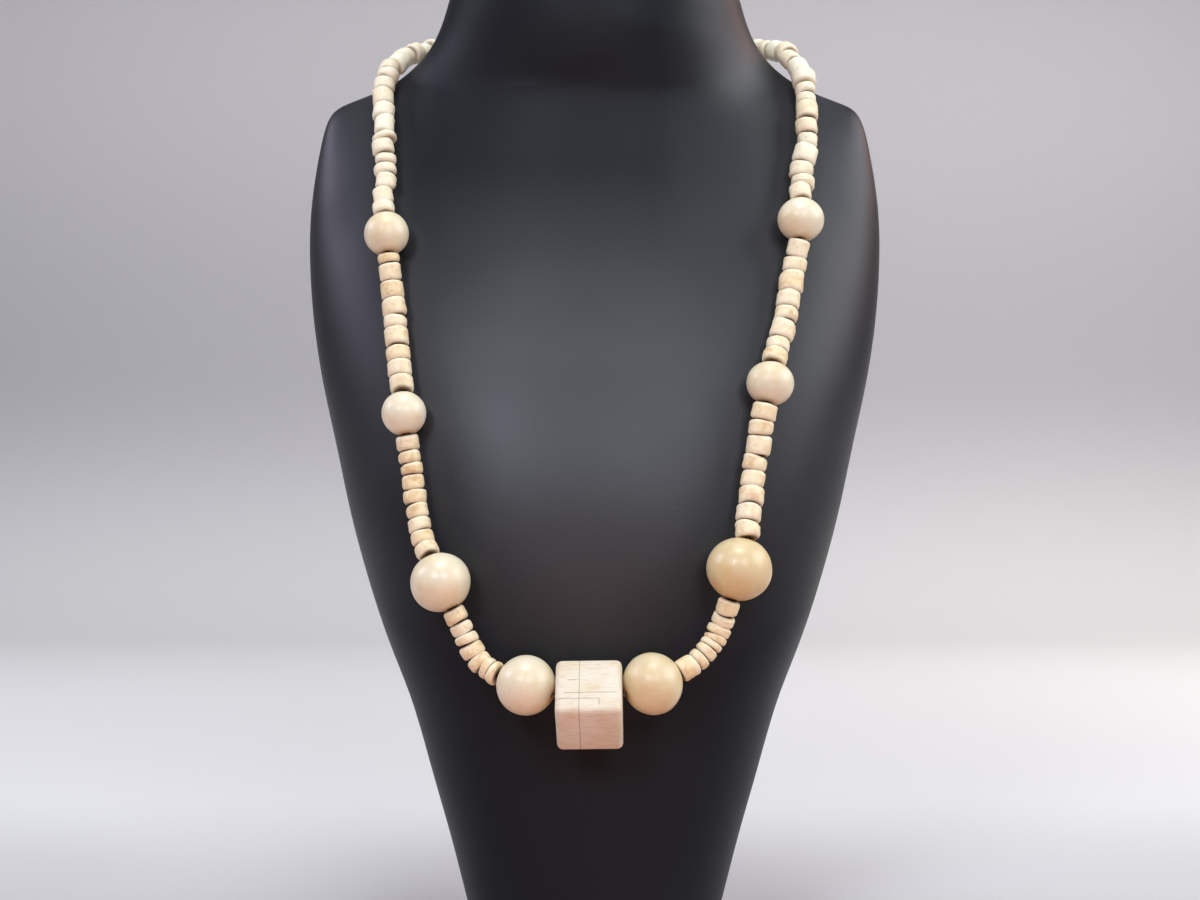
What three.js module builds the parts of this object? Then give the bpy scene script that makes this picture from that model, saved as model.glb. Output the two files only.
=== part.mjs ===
// A bone bead necklace on a plain neck bust.
// Millimetres, +Z up, the front faces -Y. The origin is the middle of the bust's flat base.
// The necklace is one closed loop: a thread that runs straight through each bead and bends only
// between beads. Every bead is a solid turned about the thread, bored for it, and cut at both ends
// along the plane that halves the bend to its neighbour.
import * as THREE from "three";

// ---------- driving dimensions ----------
const threadWidth = 1.0;
const boreWidth = 1.9;
const gap = 0.3; // between neighbouring pieces
const cubeSide = 20;
const cubeEdgeRound = 1.3;
const cubeDrop = 2.6; // the cube is drilled this far above its middle, so it hangs edge forward
const beadSides = 8;
const hiddenBeadSides = 6;
const ballSides = 12;
const threadSides = 6;
const bustSides = 40;
const bustSquareness = 2.6; // 2 is an ellipse, more is squarer
const bustStep = 13; // longest height between two sections of the bust
const napeBeads = 31;
const napeBeadLength = 4.5;
const napeBeadWidth = 7.2;

// Turns rows of numbers into records with named columns.
function table(columns, rows) {
  return rows.map((row) => Object.fromEntries(columns.map((name, i) => [name, row[i]])));
}

// ---------- the bust's shape ----------
// One row for each section, from the base up. front and back are the body's depth from the middle
// plane, which stands at y = middle. The neck is an ellipse, pinched to an edge at both sides where
// it runs out on the shoulders, and the fillet is the width over which it blends into the body.
const bustSections = table(
  ["height", "halfWidth", "middle", "front", "back", "neckHalfWidth", "neckHalfDepth", "fillet", "pinch"],
  [
    [0, 36.6, 4, 39.5, 40.5, 0, 0, 0, 0],
    [1.2, 38.2, 4, 41, 42, 0, 0, 0, 0],
    [14.8, 42.2, 4.2, 42.2, 42.6, 0, 0, 0, 0],
    [36.5, 47.8, 4.6, 44.2, 43, 0, 0, 0, 0],
    [58, 54.1, 5, 46.2, 43.4, 0, 0, 0, 0],
    [81.3, 60.8, 5.6, 49, 43.8, 0, 0, 0, 0],
    [107.4, 71, 6.6, 52.8, 44, 0, 0, 0, 0],
    [138.1, 80.4, 8.4, 54.4, 43.8, 0, 0, 0, 0],
    [165, 86.6, 10.5, 52.4, 43.2, 40, 22, 8, 0],
    [192, 92.8, 13.4, 47.4, 41.6, 50, 35, 15, 0.1],
    [213.7, 96, 15.6, 41.6, 39.4, 56, 37.6, 20, 0.2],
    [234.4, 97.2, 17, 34.8, 36, 60.4, 38.4, 22, 0.36],
    [249.6, 96.4, 17, 29.6, 32, 64, 38.6, 22, 0.52],
    [263.1, 94.4, 17, 24.2, 26.6, 67, 38.6, 18, 0.68],
    [273.6, 92.4, 17, 18.8, 20.6, 68.6, 38.5, 14, 0.8],
    [280.6, 89.6, 17, 13.6, 14.8, 69.2, 38.4, 10, 0.86],
    [284, 85.6, 17, 9.8, 10.6, 69.2, 38.3, 8, 0.88],
    [286.2, 77, 17, 6.6, 7, 68.8, 38.2, 6, 0.88],
    [288.2, 70.6, 17, 3.2, 3.4, 67.6, 38.2, 4, 0.84],
    [290.8, 65.6, 17, 0, 0, 65.6, 38.1, 0, 0.8],
    [296.4, 59.6, 17, 0, 0, 59.6, 38, 0, 0.5],
    [300.8, 56.2, 17, 0, 0, 56.2, 37.9, 0, 0.3],
    [305.2, 53.4, 17, 0, 0, 53.4, 37.8, 0, 0.16],
    [310.9, 51.9, 17, 0, 0, 51.9, 37.6, 0, 0.06],
    [317.7, 50.4, 17, 0, 0, 50.4, 37.3, 0, 0],
    [328, 49, 17, 0, 0, 49, 36.8, 0, 0],
    [337.6, 48.2, 17, 0, 0, 48.2, 36.4, 0, 0],
    [339.4, 47.2, 17, 0, 0, 47.2, 35.5, 0, 0],
    [340, 45.2, 17, 0, 0, 45.2, 33.5, 0, 0],
  ],
);

// The value of a smooth curve through four neighbouring rows, between the middle two.
function between(before, from, to, after, share) {
  const slopeIn = (to - before) / 2;
  const slopeOut = (after - from) / 2;
  const square = share * share;
  const cube = square * share;
  return (
    from * (2 * cube - 3 * square + 1) +
    slopeIn * (cube - 2 * square + share) +
    to * (3 * square - 2 * cube) +
    slopeOut * (cube - square)
  );
}

// The bust's section at a place counted in rows, so that 2.5 is half way from row 2 to row 3.
function sectionAt(place) {
  const last = bustSections.length - 1;
  const index = Math.min(Math.floor(place), last - 1);
  const row = (i) => bustSections[Math.min(Math.max(i, 0), last)];
  const rows = [row(index - 1), row(index), row(index + 1), row(index + 2)];
  const section = {};
  for (const name of Object.keys(rows[1])) {
    section[name] = between(...rows.map((each) => each[name]), place - index);
  }
  return section;
}

// The same, at a height above the base.
function sectionAtHeight(height) {
  let low = 0;
  let high = bustSections.length - 1;
  while (high - low > 1e-4) {
    const place = (low + high) / 2;
    if (sectionAt(place).height < height) low = place;
    else high = place;
  }
  return sectionAt(low);
}

// Depth of the surface from the middle plane, share being x over the half width.
function depthAt(section, bodyDepth, share) {
  const across = Math.min(Math.abs(share), 1);
  const body = bodyDepth * Math.sqrt(1 - across ** bustSquareness);
  const neckShare = (across * section.halfWidth) / (section.neckHalfWidth || 1);
  const neck = section.neckHalfDepth * Math.max(0, 1 - neckShare ** 2) ** (0.5 + section.pinch);
  const fillet = section.fillet * (1 - across ** 4);
  const overlap = Math.max(fillet - Math.abs(body - neck), 0);
  return Math.max(body, neck) + (fillet ? (overlap * overlap) / (4 * fillet) : 0);
}

function frontOfBust(x, z) {
  const section = sectionAtHeight(z);
  return section.middle - depthAt(section, section.front, x / section.halfWidth);
}

// The y of a point that stands the given distance off the bust's front.
function offTheFront(x, z, stand) {
  const step = 0.5;
  const y = frontOfBust(x, z);
  const slopeX = (frontOfBust(x + step, z) - y) / step;
  const slopeZ = (frontOfBust(x, z + step) - y) / step;
  return y - stand * Math.hypot(1, slopeX, slopeZ);
}

// ---------- solids ----------
// Skins a list of rings that all have the same number of points. A tunnel joins the last ring to
// the first, otherwise both ends are closed flat.
function skin(rings, isTunnel) {
  const sides = rings[0].length;
  const points = rings.flat();
  const triangles = [];
  const corner = (ring, side) => (ring % rings.length) * sides + (side % sides);
  const bands = isTunnel ? rings.length : rings.length - 1;
  for (let ring = 0; ring < bands; ring++) {
    for (let side = 0; side < sides; side++) {
      const [a, b] = [corner(ring, side), corner(ring, side + 1)];
      const [c, d] = [corner(ring + 1, side + 1), corner(ring + 1, side)];
      triangles.push([a, b, c], [a, c, d]);
    }
  }
  if (!isTunnel) {
    for (const end of [0, rings.length - 1]) {
      const middle = new THREE.Vector3();
      rings[end].forEach((point) => middle.addScaledVector(point, 1 / sides));
      points.push(middle);
      for (let side = 0; side < sides; side++) {
        const edge = [corner(end, side), corner(end, side + 1)];
        if (end === 0) edge.reverse();
        triangles.push([points.length - 1, ...edge]);
      }
    }
  }
  return facingOut(points, triangles);
}

// A geometry of these triangles, all turned round if they enclose a negative volume.
function facingOut(points, triangles) {
  let volume = 0;
  for (const [a, b, c] of triangles) {
    volume += points[a].dot(new THREE.Vector3().crossVectors(points[b], points[c])) / 6;
  }
  const geometry = new THREE.BufferGeometry().setFromPoints(points);
  geometry.setIndex(triangles.flatMap(([a, b, c]) => (volume > 0 ? [a, b, c] : [a, c, b])));
  geometry.computeVertexNormals();
  return geometry;
}

function bustGeometry() {
  const rings = [];
  const addRing = (place) => {
    const section = sectionAt(place);
    const ring = [];
    for (let i = 0; i < bustSides; i++) {
      const angle = (2 * Math.PI * i) / bustSides;
      const cosine = Math.cos(angle);
      const share = Math.sign(cosine) * Math.abs(cosine) ** (2 / bustSquareness);
      const isFront = Math.sin(angle) < 0;
      const depth = depthAt(section, isFront ? section.front : section.back, share);
      const y = section.middle + (isFront ? -depth : depth);
      ring.push(new THREE.Vector3(share * section.halfWidth, y, section.height));
    }
    rings.push(ring);
  };
  for (let i = 0; i < bustSections.length - 1; i++) {
    const rise = bustSections[i + 1].height - bustSections[i].height;
    const steps = Math.ceil(rise / bustStep);
    for (let step = 0; step < steps; step++) addRing(i + step / steps);
  }
  addRing(bustSections.length - 1);
  return skin(rings, false);
}

// ---------- the thread's route ----------
// Points that the thread passes, from the cube round by the left side. stand is the distance off
// the bust's front, and over the shoulders, where the thread turns back, y takes its place.
const leftRoute = table(
  ["x", "z", "stand", "mark"],
  [
    [-1.4, 89.2, 15.6, "cube"],
    [-20.9, 93.2, 12.6, "ball_low_left"],
    [-30, 97, 10.8],
    [-34.8, 99.9, 9.8],
    [-37.8, 105, 9.4],
    [-41.7, 112.6, 9.4],
    [-47.2, 124.9, 11.3, "ball_large_left"],
    [-52.8, 136.6, 7.2],
    [-55.7, 148.6, 5.6],
    [-57.3, 161, 5.8],
    [-59.8, 176.7, 8, "ball_middle_left"],
    [-61.1, 189, 5.8],
    [-62.8, 201.6, 4.9],
    [-64.5, 214, 5.5],
    [-67.1, 235.1, 8.6, "ball_upper_left"],
    [-68.5, 247, 5.2],
    [-69.2, 261, 4.4],
    [-70.1, 272, 4.5],
  ],
);
const leftShoulder = table(
  ["x", "y", "z", "mark"],
  [
    [-70.6, 4, 282.6],
    [-70.2, 9, 290.2],
    [-67.8, 16.4, 296],
    [-63.4, 23.8, 300.4],
    [-57.7, 31, 303.6, "left_nape"],
  ],
);
const rightShoulder = table(
  ["x", "y", "z", "mark"],
  [
    [57.7, 31, 304, "right_nape"],
    [63.4, 24, 302.6],
    [66.8, 17.2, 298.2],
    [69.5, 10, 291.6],
    [70.3, 3.8, 282.4],
  ],
);
const rightRoute = table(
  ["x", "z", "stand", "mark"],
  [
    [70.6, 272, 4.8],
    [69.6, 263, 4.6],
    [67.2, 252, 5],
    [67.3, 239.9, 9.7, "ball_upper_right"],
    [64.3, 225, 5.4],
    [61.9, 212, 4.8],
    [58.6, 199, 5.6],
    [55, 186.2, 8.4, "ball_middle_right"],
    [51.4, 168.6, 6],
    [49.1, 155, 5.6],
    [47.3, 143, 8.8],
    [45.9, 128.4, 13, "ball_large_right"],
    [41.2, 117.6, 11],
    [38.6, 110.6, 9.4],
    [35.2, 104.2, 9.8],
    [28.6, 98.8, 11],
    [18, 93.8, 13, "ball_low_right"],
  ],
);
const napeRise = 4; // how far the middle of the nape stands above its ends
const napeSteps = 6;
const napeClearance = 4.3;

const onTheFront = ({ x, z, stand, mark }) => ({ x, y: offTheFront(x, z, stand), z, mark });

// Round the back of the neck: an arc of the neck's own ellipse, a little outside it.
function napeRoute() {
  const from = leftShoulder.at(-1);
  const section = sectionAtHeight(from.z);
  const halfDepth = section.neckHalfDepth + napeClearance;
  const start = Math.asin((from.y - section.middle) / halfDepth);
  const halfWidth = -from.x / Math.cos(start);
  const points = [];
  for (let i = 1; i < napeSteps; i++) {
    const angle = start + ((Math.PI - 2 * start) * i) / napeSteps;
    const rise = napeRise * Math.sin((Math.PI * i) / napeSteps);
    points.push({
      x: -halfWidth * Math.cos(angle),
      y: section.middle + halfDepth * Math.sin(angle),
      z: from.z + rise,
    });
  }
  return points;
}

const route = [
  ...leftRoute.map(onTheFront),
  ...leftShoulder,
  ...napeRoute(),
  ...rightShoulder,
  ...rightRoute.map(onTheFront),
];
const threadCurve = new THREE.CatmullRomCurve3(
  route.map(({ x, y, z }) => new THREE.Vector3(x, y, z)),
  true,
  "centripetal",
);
const curveStepsPerPoint = 60;
threadCurve.arcLengthDivisions = route.length * curveStepsPerPoint;
const curveLengths = threadCurve.getLengths();
const loopLength = curveLengths.at(-1);
const alongThread = (distance) => threadCurve.getPointAt((((distance / loopLength) % 1) + 1) % 1);

// Distance along the thread from the cube's middle to a marked point.
function distanceTo(mark) {
  return curveLengths[route.findIndex((point) => point.mark === mark) * curveStepsPerPoint];
}

// ---------- the beads, in the order of the route ----------
const balls = table(
  ["name", "length", "width"],
  [
    ["ball_low_left", 18.2, 18.6],
    ["ball_large_left", 18.8, 19],
    ["ball_middle_left", 14.3, 14.4],
    ["ball_upper_left", 14.5, 14.7],
    ["ball_upper_right", 14.9, 15.3],
    ["ball_middle_right", 13.9, 15.3],
    ["ball_large_right", 20.1, 20.6],
    ["ball_low_right", 18.2, 19.4],
  ],
);
const beadColumns = ["length", "width"];
const leftLowBeads = table(beadColumns, [
  [2.6, 7.1],
  [2.4, 7.2],
  [3.7, 7.3],
  [4.1, 7.4],
  [3, 7.3],
  [3.5, 7.2],
  [4.3, 7.3],
]);
const leftMiddleBeads = table(beadColumns, [
  [4.1, 7.4],
  [4.1, 7.2],
  [4.1, 7.2],
  [4.3, 7.1],
  [4.4, 7.3],
  [4.4, 6.9],
  [3.4, 7],
  [3.7, 7.1],
  [4.8, 7.3],
]);
const leftUpperBeads = table(beadColumns, [
  [5, 7.4],
  [5, 7.6],
  [4.7, 7.5],
  [5.8, 7.4],
  [3.8, 7.3],
  [5.4, 7.5],
  [5.6, 7.4],
  [5.4, 7.4],
  [3.2, 7.1],
]);
const leftTopBeads = table(beadColumns, [
  [4, 7.2],
  [5.4, 7.3],
  [4.7, 7.1],
  [3.6, 7.3],
  [3.3, 7],
  [4.7, 7.3],
  [2.2, 7.4],
  [6.2, 7.2],
  [5.3, 7.3],
  [5.9, 7.2],
  [4, 7],
  [3.8, 7.3],
  [4.6, 7.2],
  [4.9, 7.3],
  [5.2, 7.1],
  [4.8, 7.2],
  [4.9, 7.2],
]);
const rightTopBeads = table(beadColumns, [
  [5, 7.2],
  [5, 7.1],
  [5.2, 7.3],
  [5.4, 7.2],
  [5.6, 7.1],
  [5.6, 7.3],
  [3.8, 7.2],
  [4.4, 7.1],
  [6, 7.4],
  [5.1, 7.3],
  [4, 7.1],
  [6.5, 7.3],
  [4.7, 7.2],
  [4, 7.3],
  [5.4, 7.2],
]);
const rightUpperBeads = table(beadColumns, [
  [5.2, 7.2],
  [4.5, 7.5],
  [6.4, 7.6],
  [4.8, 7.4],
  [4.4, 7.5],
  [5.7, 7.8],
  [4.3, 7.7],
  [4.1, 7.9],
]);
const rightMiddleBeads = table(beadColumns, [
  [5, 7.8],
  [4.3, 7.8],
  [5.9, 8],
  [4.5, 7.7],
  [4.9, 7.8],
  [5.4, 7.9],
  [5.1, 7.8],
  [4.9, 7.8],
]);
const rightLowBeads = table(beadColumns, [
  [4.7, 7.3],
  [3.7, 7.4],
  [3.1, 7.3],
  [2.1, 7.2],
  [2.1, 7.1],
  [3, 7.3],
  [3.3, 7.2],
  [5.5, 6.9],
]);

// The beads behind the neck, which vary a little as the others do.
function napeBeadRow() {
  const beads = [];
  for (let i = 0; i < napeBeads; i++) {
    beads.push({
      length: napeBeadLength + 0.8 * Math.sin(2.3 * i),
      width: napeBeadWidth + 0.15 * Math.cos(3.1 * i),
    });
  }
  return beads;
}

// A run of small beads fills the thread between two marks. Each of its beads is a piece of its
// own, or they are joined in strings of up to perString beads.
const runs = [
  { name: "left_low", from: "ball_low_left", to: "ball_large_left", beads: leftLowBeads },
  { name: "left_middle", from: "ball_large_left", to: "ball_middle_left", beads: leftMiddleBeads },
  {
    name: "left_upper",
    from: "ball_middle_left",
    to: "ball_upper_left",
    beads: leftUpperBeads,
    perString: 9,
  },
  {
    name: "left_top",
    from: "ball_upper_left",
    to: "left_nape",
    beads: leftTopBeads,
    perString: 9,
  },
  { name: "nape", from: "left_nape", to: "right_nape", beads: napeBeadRow(), perString: 7 },
  {
    name: "right_top",
    from: "right_nape",
    to: "ball_upper_right",
    beads: rightTopBeads,
    perString: 8,
  },
  {
    name: "right_upper",
    from: "ball_upper_right",
    to: "ball_middle_right",
    beads: rightUpperBeads,
    perString: 8,
  },
  {
    name: "right_middle",
    from: "ball_middle_right",
    to: "ball_large_right",
    beads: rightMiddleBeads,
  },
  { name: "right_low", from: "ball_large_right", to: "ball_low_right", beads: rightLowBeads },
];

// ---------- stations: where the thread passes from one bead to the next ----------
// Each bead is told its start and end station. The thread is straight between two stations.
const stations = [];
const beads = new Map();

function addStation(distance) {
  stations.push({ distance, point: alongThread(distance) });
  return stations.length - 1;
}

function halfLength(mark) {
  if (mark === "cube") return cubeSide / 2;
  const ball = balls.find(({ name }) => name === mark);
  return ball ? ball.length / 2 : 0;
}

function layOutThread() {
  addStation(halfLength("cube"));
  for (const run of runs) {
    if (balls.some(({ name }) => name === run.from)) {
      const start = addStation(distanceTo(run.from) - halfLength(run.from));
      beads.set(run.from, { start, end: start + 1 });
      addStation(distanceTo(run.from) + halfLength(run.from));
    }
    const from = stations.at(-1).distance;
    const to = distanceTo(run.to) - halfLength(run.to);
    const stated = run.beads.reduce((sum, bead) => sum + bead.length, 0);
    const stretch = (to - from) / stated;
    let distance = from;
    run.beads.forEach((bead, i) => {
      distance += bead.length * stretch;
      const start = stations.length - 1;
      bead.start = start;
      bead.end = start + 1;
      if (i < run.beads.length - 1 || halfLength(run.to) === 0) addStation(distance);
    });
  }
  const last = runs.at(-1).to;
  const start = addStation(distanceTo(last) - halfLength(last));
  beads.set(last, { start, end: start + 1 });
  addStation(distanceTo(last) + halfLength(last));
  addStation(loopLength - halfLength("cube"));
  beads.set("cube", { start: stations.length - 1, end: 0 });
}
layOutThread();

const pointAt = (station) => stations[(station + stations.length) % stations.length].point;

function directionFrom(station) {
  return new THREE.Vector3().subVectors(pointAt(station + 1), pointAt(station)).normalize();
}

// Normal of the plane that halves the bend at a station.
function mitreAt(station) {
  return directionFrom(station - 1).add(directionFrom(station)).normalize();
}

// A direction square to the thread that turns smoothly along it, away from the bust's core.
const coreY = 17;
const coreTop = 270;
function awayFromCore(point, direction) {
  const away = new THREE.Vector3(point.x, point.y - coreY, point.z - Math.min(point.z, coreTop));
  return away.addScaledVector(direction, -away.dot(direction)).normalize();
}

// A ring about the thread. share is its place from the start station to the end station, and its
// points lean with the mitre planes at both ends, so that neighbours meet face to face.
function ringAbout(start, share, radius, sides, inset = gap / 2) {
  const from = pointAt(start);
  const axis = directionFrom(start);
  const length = from.distanceTo(pointAt(start + 1));
  const outward = awayFromCore(from, axis);
  const sideways = new THREE.Vector3().crossVectors(axis, outward);
  const leanOf = (offset, normal) => -offset.dot(normal) / axis.dot(normal);
  const ring = [];
  for (let i = 0; i < sides; i++) {
    const angle = (2 * Math.PI * (i + 0.5)) / sides;
    const offset = outward.clone().multiplyScalar(radius * Math.cos(angle));
    offset.addScaledVector(sideways, radius * Math.sin(angle));
    const startLean = leanOf(offset, mitreAt(start)) + inset;
    const endLean = leanOf(offset, mitreAt(start + 1)) - inset;
    const along = length * share + startLean * (1 - share) + endLean * share;
    ring.push(from.clone().addScaledVector(axis, along).add(offset));
  }
  return ring;
}

// The outline of a small bead: a short tube with its rims rounded off.
const beadOutline = table(
  ["share", "radius"],
  [
    [0, 0.76],
    [0.16, 1],
    [0.84, 1],
    [1, 0.76],
  ],
);

function beadGeometry(bead) {
  const rings = beadOutline.map(({ share, radius }) =>
    ringAbout(bead.start, share, (radius * bead.width) / 2, beadSides),
  );
  rings.push(ringAbout(bead.start, 1, boreWidth / 2, beadSides));
  rings.push(ringAbout(bead.start, 0, boreWidth / 2, beadSides));
  return skin(rings, true);
}

// Beads joined at their rims, with one bore through all of them.
const joinRadius = 0.62;
const stringBody = [0.2, 0.8];
function stringGeometry(row, sides) {
  const rings = [];
  const bore = [];
  row.forEach((bead, i) => {
    const startInset = i === 0 ? gap / 2 : 0;
    const radius = bead.width / 2;
    rings.push(ringAbout(bead.start, 0, radius * joinRadius, sides, startInset));
    bore.unshift(ringAbout(bead.start, 0, boreWidth / 2, sides, startInset));
    stringBody.forEach((share) => rings.push(ringAbout(bead.start, share, radius, sides)));
  });
  const last = row.at(-1);
  rings.push(ringAbout(last.start, 1, (last.width / 2) * joinRadius, sides));
  bore.unshift(ringAbout(last.start, 1, boreWidth / 2, sides));
  return skin([...rings, ...bore], true);
}

// A ball is turned in steps of latitude, from the rim of one hole to the rim of the other.
const ballSteps = 7;
const holeRim = 1.7;
const ballInset = 0.55; // leaves room for the bead beside it to tilt
function ballGeometry({ name, length, width }) {
  const { start } = beads.get(name);
  const middle = new THREE.Vector3().addVectors(pointAt(start), pointAt(start + 1)).multiplyScalar(0.5);
  const axis = directionFrom(start);
  const outward = awayFromCore(middle, axis);
  const sideways = new THREE.Vector3().crossVectors(axis, outward);
  const ring = (along, radius) => {
    const points = [];
    for (let i = 0; i < ballSides; i++) {
      const angle = (2 * Math.PI * (i + 0.5)) / ballSides;
      const point = middle.clone().addScaledVector(axis, along);
      point.addScaledVector(outward, radius * Math.cos(angle));
      points.push(point.addScaledVector(sideways, radius * Math.sin(angle)));
    }
    return points;
  };
  const reach = length / 2 - ballInset;
  const first = Math.asin(holeRim / (width / 2));
  const rings = [];
  for (let i = 0; i <= ballSteps; i++) {
    const angle = first + ((Math.PI - 2 * first) * i) / ballSteps;
    rings.push(ring(-reach * Math.cos(angle), (width / 2) * Math.sin(angle)));
  }
  rings.push(ring(reach * Math.cos(first), boreWidth / 2));
  rings.push(ring(-reach * Math.cos(first), boreWidth / 2));
  return skin(rings, true);
}

// The cube stands on edge: its section square to the thread is a rounded square turned by 45
// degrees, and its bore lies above the middle.
const cornerSteps = 3;
function cubeGeometry() {
  const { start } = beads.get("cube");
  const axis = directionFrom(start);
  const up = new THREE.Vector3(0, 0, 1).addScaledVector(axis, -axis.z).normalize();
  const back = new THREE.Vector3().crossVectors(axis, up);
  const bore = new THREE.Vector3().addVectors(pointAt(start), pointAt(start + 1)).multiplyScalar(0.5);
  const middle = bore.clone().addScaledVector(up, -cubeDrop);
  const place = (from, along, angle, radius) =>
    from
      .clone()
      .addScaledVector(axis, along)
      .addScaledVector(up, radius * Math.cos(angle))
      .addScaledVector(back, radius * Math.sin(angle));
  const square = (along, half) => {
    const points = [];
    for (let corner = 0; corner < 4; corner++) {
      const cornerAngle = (Math.PI / 2) * corner;
      const centre = place(middle, along, cornerAngle, (half - cubeEdgeRound) * Math.SQRT2);
      for (let step = 0; step <= cornerSteps; step++) {
        const turn = (Math.PI / 2) * (step / cornerSteps - 0.5);
        points.push(place(centre, 0, cornerAngle + turn, cubeEdgeRound));
      }
    }
    return points;
  };
  const hole = (along) => {
    const sides = 4 * (cornerSteps + 1);
    const points = [];
    for (let i = 0; i < sides; i++) {
      const angle = (2 * Math.PI * (i - cornerSteps / 2)) / sides;
      points.push(place(bore, along, angle, boreWidth / 2));
    }
    return points;
  };
  const half = cubeSide / 2;
  const shoulder = half - cubeEdgeRound;
  const soft = half - 0.3 * cubeEdgeRound;
  return skin(
    [
      square(-half, shoulder),
      square(-soft, soft),
      square(-shoulder, half),
      square(shoulder, half),
      square(soft, soft),
      square(half, shoulder),
      hole(half),
      hole(-half),
    ],
    true,
  );
}

function threadGeometry() {
  const rings = stations.map((_, i) => ringAbout(i, 0, threadWidth / 2, threadSides, 0));
  return skin(rings, true);
}

// ---------- the assembly ----------
const finishes = {
  bust: { color: 0x333338, roughness: 0.5, metalness: 0 },
  ball: { color: 0xe8d6bc, roughness: 0.35, metalness: 0 },
  cube: { color: 0xf2e6d2, roughness: 0.55, metalness: 0 },
  bead: { color: 0xecd9b8, roughness: 0.6, metalness: 0 },
  thread: { color: 0xb9a684, roughness: 0.9, metalness: 0 },
};

function piece(name, geometry, finish) {
  const mesh = new THREE.Mesh(geometry, new THREE.MeshStandardMaterial(finishes[finish]));
  mesh.name = name;
  return mesh;
}

const necklace = new THREE.Group();
necklace.add(piece("thread", threadGeometry(), "thread"));
necklace.add(piece("cube", cubeGeometry(), "cube"));
for (const ball of balls) necklace.add(piece(ball.name, ballGeometry(ball), "ball"));
for (const run of runs) {
  if (!run.perString) {
    run.beads.forEach((bead, i) => {
      necklace.add(piece(`bead_${run.name}_${i + 1}`, beadGeometry(bead), "bead"));
    });
    continue;
  }
  const sides = run.name === "nape" ? hiddenBeadSides : beadSides;
  for (let first = 0; first < run.beads.length; first += run.perString) {
    const row = run.beads.slice(first, first + run.perString);
    const name = `string_${run.name}_${first / run.perString + 1}`;
    necklace.add(piece(name, stringGeometry(row, sides), "bead"));
  }
}

const model = new THREE.Group();
model.add(piece("bust", bustGeometry(), "bust"), necklace);

export default model;
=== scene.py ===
import math
import random

import bmesh
import bpy
from mathutils import Matrix, Vector


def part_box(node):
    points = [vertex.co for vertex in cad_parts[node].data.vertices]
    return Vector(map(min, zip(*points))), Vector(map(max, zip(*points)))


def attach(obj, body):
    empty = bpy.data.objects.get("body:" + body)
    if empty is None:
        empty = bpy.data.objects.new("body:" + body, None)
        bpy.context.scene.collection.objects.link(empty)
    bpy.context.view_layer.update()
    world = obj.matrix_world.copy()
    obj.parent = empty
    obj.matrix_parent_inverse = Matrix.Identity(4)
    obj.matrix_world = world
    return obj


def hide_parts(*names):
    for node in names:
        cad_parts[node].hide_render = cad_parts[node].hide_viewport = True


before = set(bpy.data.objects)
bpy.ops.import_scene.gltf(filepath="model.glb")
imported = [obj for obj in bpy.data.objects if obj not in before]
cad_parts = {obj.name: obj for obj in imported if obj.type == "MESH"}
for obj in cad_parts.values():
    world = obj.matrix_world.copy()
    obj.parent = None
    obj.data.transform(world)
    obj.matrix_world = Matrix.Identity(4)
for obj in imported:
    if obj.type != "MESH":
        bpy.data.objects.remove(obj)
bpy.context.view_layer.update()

mm = 0.001
print("frame loaded:", len(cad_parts), "nodes")


# Small helpers.
def deselectAll():
    bpy.ops.object.select_all(action="DESELECT")


def pick(obj):
    deselectAll()
    obj.select_set(True)
    bpy.context.view_layer.objects.active = obj


def startEdit(obj):
    pick(obj)
    bpy.ops.object.mode_set(mode="EDIT")
    bpy.ops.mesh.select_all(action="DESELECT")


def endEdit():
    bpy.ops.object.mode_set(mode="OBJECT")


def choose(obj, kind, wanted):
    # in edit mode: selects the faces, edges or vertices that pass the test, and nothing else
    bpy.ops.mesh.select_mode(type=kind)
    bpy.ops.mesh.select_all(action="DESELECT")
    mesh = bmesh.from_edit_mesh(obj.data)
    parts = {"FACE": mesh.faces, "EDGE": mesh.edges, "VERT": mesh.verts}[kind]
    for part in parts:
        if wanted(part):
            part.select_set(True)
    mesh.select_flush_mode()
    bmesh.update_edit_mesh(obj.data)


def fromAxis(point):
    return math.hypot(point.x, point.y)


def addModifier(obj, kind, **settings):
    # adds a modifier with its settings and applies it at once
    pick(obj)
    modifier = obj.modifiers.new(kind.title(), kind)
    for name, value in settings.items():
        setattr(modifier, name, value)
    bpy.ops.object.modifier_apply(modifier=modifier.name)


def lumps(name, size, depth=2):
    # a soft noise for the Displace modifier; size is the width of one lump
    texture = bpy.data.textures.new(name, "CLOUDS")
    texture.noise_scale = size
    texture.noise_depth = depth
    return texture


def renamed(obj, name):
    obj.name = name
    obj.data.name = name
    return obj


def copied(master, place):
    # a copy with a mesh of its own, put in its place in the mesh
    mesh = master.data.copy()
    mesh.transform(place)
    obj = bpy.data.objects.new(master.name + ".copy", mesh)
    bpy.context.scene.collection.objects.link(obj)
    return obj


def joined(pieces, name):
    deselectAll()
    for piece in pieces:
        piece.select_set(True)
    bpy.context.view_layer.objects.active = pieces[0]
    if len(pieces) > 1:
        bpy.ops.object.join()
    return renamed(pieces[0], name)


def clamped(value):
    return max(0, min(1, value))


def setAttribute(obj, name, valueAt):
    # a number at each vertex
    attribute = obj.data.attributes.new(name, "FLOAT", "POINT")
    for vertex, item in zip(obj.data.vertices, attribute.data):
        item.value = valueAt(vertex.co)


def smoothed(obj, angle):
    pick(obj)
    bpy.ops.object.shade_smooth_by_angle(angle=math.radians(angle))


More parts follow.
